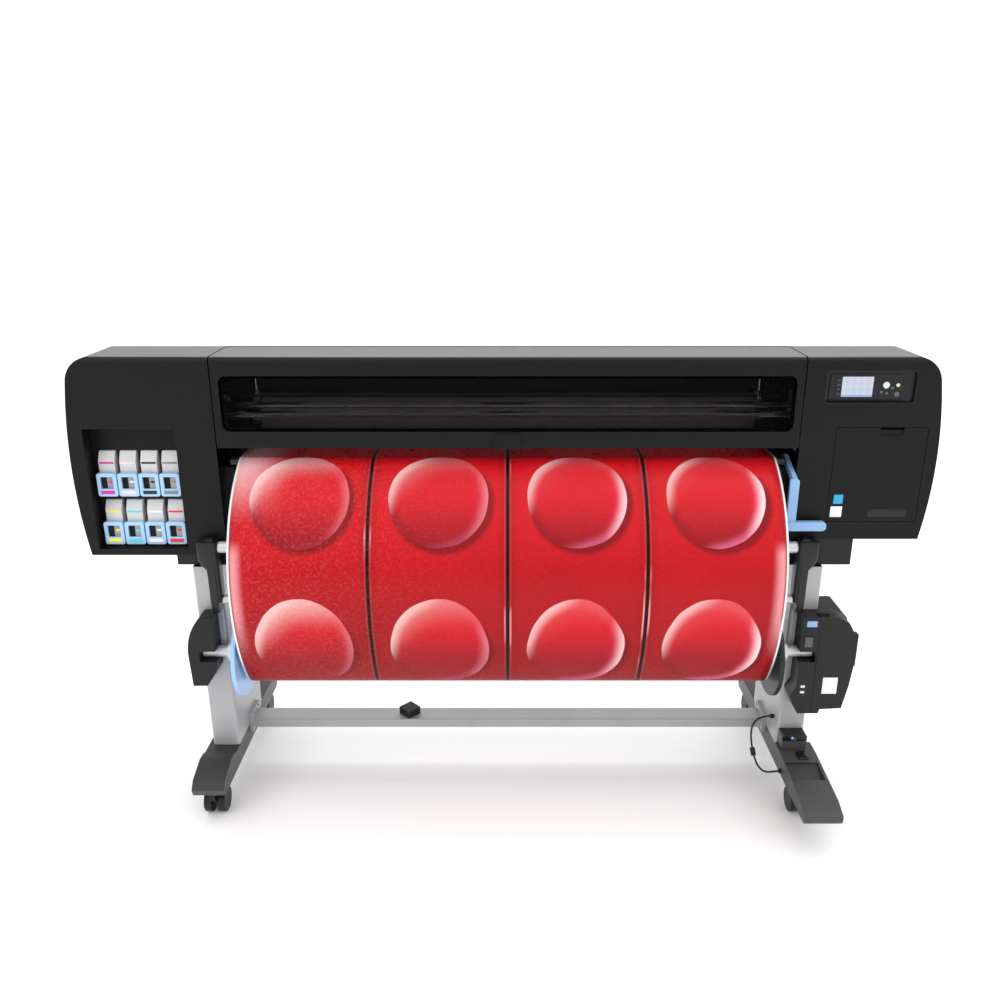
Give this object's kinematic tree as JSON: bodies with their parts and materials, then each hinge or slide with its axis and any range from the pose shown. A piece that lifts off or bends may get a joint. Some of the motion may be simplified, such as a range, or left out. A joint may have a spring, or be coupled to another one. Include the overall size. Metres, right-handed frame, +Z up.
{
  "type": "roll-fed printer cutter",
  "caption": "Wide roll-fed printer cutter on a wheeled stand, with ink drawers at the left, a control panel at the right, a hanging printed web and a take-up reel.",
  "frame": {"origin": "on the floor, under the middle of the machine's overall box", "axes": "+X to the right of a person who stands in front of it, +Y towards its back, +Z up"},
  "size_m": [2.43, 0.78, 1.37],
  "materials": {
    "body_charcoal": "fine texture",
    "top_grey": "satin",
    "rear_grey": "satin",
    "window_black": "polished",
    "screen_black": "polished",
    "frame_black": "powder coat",
    "platen_black": "anodised",
    "steel_bright": "brushed",
    "rubber_black": "matt",
    "carriage_grey": "fine texture",
    "pulley_alu": "machined",
    "media_print": "satin print",
    "media_white": "satin",
    "panel_grey": "satin",
    "key_grey": "satin",
    "lever_blue": "satin",
    "stand_grey": "powder coat",
    "foot_black": "powder coat",
    "support_grey": "fine texture",
    "sensor_grey": "satin",
    "lead_black": "satin",
    "screw_steel": "zinc",
    "caster_black": "satin",
    "tank_1": "satin",
    "tank_2": "satin",
    "tank_3": "satin",
    "tank_4": "satin",
    "tank_5": "satin",
    "tank_6": "satin",
    "tank_7": "satin",
    "tank_8": "satin"
  },
  "bodies": {
    "chassis": {"base_frame": "frame_black", "carriage_motor": "frame_black", "crossbar": "stand_grey", "display_screen": "screen_black", "drive_belt": "rubber_black", "electronics_box": "frame_black", "fasteners": "screw_steel", "feet": "foot_black", "ferrite_core": "lead_black", "foot_cover": "foot_black", "ink_bay": "body_charcoal", "left_end_cover": "body_charcoal", "legs": "stand_grey", "loop_guide": "steel_bright", "loop_sensor": "sensor_grey", "media_web": "media_print", "panel_bezel": "panel_grey", "platen": "platen_black", "rear_cover": "rear_grey", "right_end_cover": "body_charcoal", "roll_holders": "frame_black", "sensor_cable": "lead_black", "service_station": "frame_black", "slider_rods": "steel_bright", "takeup_idle_support": "support_grey", "takeup_motor_housing": "support_grey", "top_cover": "top_grey"},
    "window": {"window_frame": "body_charcoal", "window_glass": "window_black"},
    "service_door": {"service_door": "body_charcoal"},
    "media_lever": {"media_lever": "lever_blue"},
    "carriage": {"carriage": "carriage_grey"},
    "idler_pulley": {"idler_pulley": "pulley_alu"},
    "drive_pulley": {"drive_pulley": "pulley_alu"},
    "feed_roller": {"feed_roller": "steel_bright"},
    "pinch_rollers": {"pinch_rollers": "rubber_black"},
    "supply_reel": {"supply_spindle": "steel_bright", "supply_roll": "media_white"},
    "takeup_reel": {"takeup_spindle": "steel_bright", "takeup_roll": "media_white"},
    "takeup_rocker": {"takeup_rocker": "lever_blue"},
    "shortcut_keys": {"shortcut_keys": "key_grey"},
    "menu_keys": {"menu_keys": "key_grey"},
    "power_key": {"power_key": "key_grey"},
    "ink_drawer_1": {"ink_drawer_1": "tank_1"},
    "ink_drawer_2": {"ink_drawer_2": "tank_2"},
    "ink_drawer_3": {"ink_drawer_3": "tank_3"},
    "ink_drawer_4": {"ink_drawer_4": "tank_4"},
    "ink_drawer_5": {"ink_drawer_5": "tank_5"},
    "ink_drawer_6": {"ink_drawer_6": "tank_6"},
    "ink_drawer_7": {"ink_drawer_7": "tank_7"},
    "ink_drawer_8": {"ink_drawer_8": "tank_8"},
    "caster_fork_front_left": {"caster_fork_front_left": "caster_black"},
    "caster_wheel_front_left": {"caster_wheel_front_left": "caster_black"},
    "caster_fork_rear_left": {"caster_fork_rear_left": "caster_black"},
    "caster_wheel_rear_left": {"caster_wheel_rear_left": "caster_black"},
    "caster_fork_front_right": {"caster_fork_front_right": "caster_black"},
    "caster_wheel_front_right": {"caster_wheel_front_right": "caster_black"},
    "caster_fork_rear_right": {"caster_fork_rear_right": "caster_black"},
    "caster_wheel_rear_right": {"caster_wheel_rear_right": "caster_black"}
  },
  "joints": [
    {"name": "window_hinge", "type": "hinge", "parent": "chassis", "child": "window", "pos_m": [0.012, 0.105, 1.361], "axis": [-1, 0, 0], "range_deg": [0, 60]},
    {"name": "service_door_hinge", "type": "hinge", "parent": "chassis", "child": "service_door", "pos_m": [1.052, -0.07, 0.8965], "axis": [1, 0, 0], "range_deg": [0, 85]},
    {"name": "media_lever_hinge", "type": "hinge", "parent": "chassis", "child": "media_lever", "pos_m": [0.818, 0.02, 1.062], "axis": [-1, 0, 0], "range_deg": [0, 25]},
    {"name": "carriage_slide", "type": "slide", "parent": "chassis", "child": "carriage", "axis": [-1, 0, 0], "range_m": [0, 1.66]},
    {"name": "drive_pulley_spin", "type": "hinge", "parent": "chassis", "child": "drive_pulley", "pos_m": [1.075, 0.196, 1.19], "axis": [0, 1, 0], "continuous": true},
    {"name": "idler_pulley_spin", "type": "hinge", "parent": "chassis", "child": "idler_pulley", "pos_m": [-0.85, 0.196, 1.19], "axis": [0, 1, 0], "continuous": true},
    {"name": "feed_roller_spin", "type": "hinge", "parent": "chassis", "child": "feed_roller", "pos_m": [0.012, 0.13, 1.045], "axis": [-1, 0, 0], "continuous": true},
    {"name": "pinch_roller_spin", "type": "hinge", "parent": "chassis", "child": "pinch_rollers", "pos_m": [0.012, 0.13, 1.0885], "axis": [-1, 0, 0], "continuous": true},
    {"name": "supply_reel_spin", "type": "hinge", "parent": "chassis", "child": "supply_reel", "pos_m": [0.012, 0.29, 1.13], "axis": [-1, 0, 0], "continuous": true},
    {"name": "takeup_reel_spin", "type": "hinge", "parent": "chassis", "child": "takeup_reel", "pos_m": [0.012, -0.096, 0.496], "axis": [-1, 0, 0], "continuous": true},
    {"name": "takeup_rocker_tilt", "type": "hinge", "parent": "chassis", "child": "takeup_rocker", "pos_m": [0.897, -0.129, 0.604], "axis": [1, 0, 0], "range_deg": [-7, 7], "stiffness_Nm_per_rad": 0.05},
    {"name": "ink_drawer_1_slide", "type": "slide", "parent": "chassis", "child": "ink_drawer_1", "axis": [0, -1, 0], "range_m": [0, 0.15]},
    {"name": "ink_drawer_2_slide", "type": "slide", "parent": "chassis", "child": "ink_drawer_2", "axis": [0, -1, 0], "range_m": [0, 0.15]},
    {"name": "ink_drawer_3_slide", "type": "slide", "parent": "chassis", "child": "ink_drawer_3", "axis": [0, -1, 0], "range_m": [0, 0.15]},
    {"name": "ink_drawer_4_slide", "type": "slide", "parent": "chassis", "child": "ink_drawer_4", "axis": [0, -1, 0], "range_m": [0, 0.15]},
    {"name": "ink_drawer_5_slide", "type": "slide", "parent": "chassis", "child": "ink_drawer_5", "axis": [0, -1, 0], "range_m": [0, 0.15]},
    {"name": "ink_drawer_6_slide", "type": "slide", "parent": "chassis", "child": "ink_drawer_6", "axis": [0, -1, 0], "range_m": [0, 0.15]},
    {"name": "ink_drawer_7_slide", "type": "slide", "parent": "chassis", "child": "ink_drawer_7", "axis": [0, -1, 0], "range_m": [0, 0.15]},
    {"name": "ink_drawer_8_slide", "type": "slide", "parent": "chassis", "child": "ink_drawer_8", "axis": [0, -1, 0], "range_m": [0, 0.15]},
    {"name": "shortcut_key_press", "type": "slide", "parent": "chassis", "child": "shortcut_keys", "axis": [0, 1, 0], "range_m": [0, 0.001], "stiffness_N_per_m": 300},
    {"name": "menu_key_press", "type": "slide", "parent": "chassis", "child": "menu_keys", "axis": [0, 1, 0], "range_m": [0, 0.001], "stiffness_N_per_m": 300},
    {"name": "power_key_press", "type": "slide", "parent": "chassis", "child": "power_key", "axis": [0, 1, 0], "range_m": [0, 0.001], "stiffness_N_per_m": 300},
    {"name": "swivel_front_left", "type": "hinge", "parent": "chassis", "child": "caster_fork_front_left", "pos_m": [-0.874, -0.205, 0.096], "axis": [0, 0, 1], "continuous": true},
    {"name": "wheel_front_left", "type": "hinge", "parent": "caster_fork_front_left", "child": "caster_wheel_front_left", "pos_m": [-0.874, -0.183, 0.0375], "axis": [-1, 0, 0], "continuous": true},
    {"name": "swivel_rear_left", "type": "hinge", "parent": "chassis", "child": "caster_fork_rear_left", "pos_m": [-0.874, 0.33, 0.096], "axis": [0, 0, 1], "continuous": true},
    {"name": "wheel_rear_left", "type": "hinge", "parent": "caster_fork_rear_left", "child": "caster_wheel_rear_left", "pos_m": [-0.874, 0.352, 0.0375], "axis": [-1, 0, 0], "continuous": true},
    {"name": "swivel_front_right", "type": "hinge", "parent": "chassis", "child": "caster_fork_front_right", "pos_m": [0.898, -0.205, 0.096], "axis": [0, 0, 1], "continuous": true},
    {"name": "wheel_front_right", "type": "hinge", "parent": "caster_fork_front_right", "child": "caster_wheel_front_right", "pos_m": [0.898, -0.183, 0.0375], "axis": [-1, 0, 0], "continuous": true},
    {"name": "swivel_rear_right", "type": "hinge", "parent": "chassis", "child": "caster_fork_rear_right", "pos_m": [0.898, 0.33, 0.096], "axis": [0, 0, 1], "continuous": true},
    {"name": "wheel_rear_right", "type": "hinge", "parent": "caster_fork_rear_right", "child": "caster_wheel_rear_right", "pos_m": [0.898, 0.352, 0.0375], "axis": [-1, 0, 0], "continuous": true}
  ],
  "couplings": [
    {"joint": "drive_pulley_spin", "follows": "carriage_slide", "rad_per_m": -71.429},
    {"joint": "idler_pulley_spin", "follows": "carriage_slide", "rad_per_m": -71.429},
    {"joint": "pinch_roller_spin", "follows": "feed_roller_spin", "ratio": -2.7273}
  ]
}
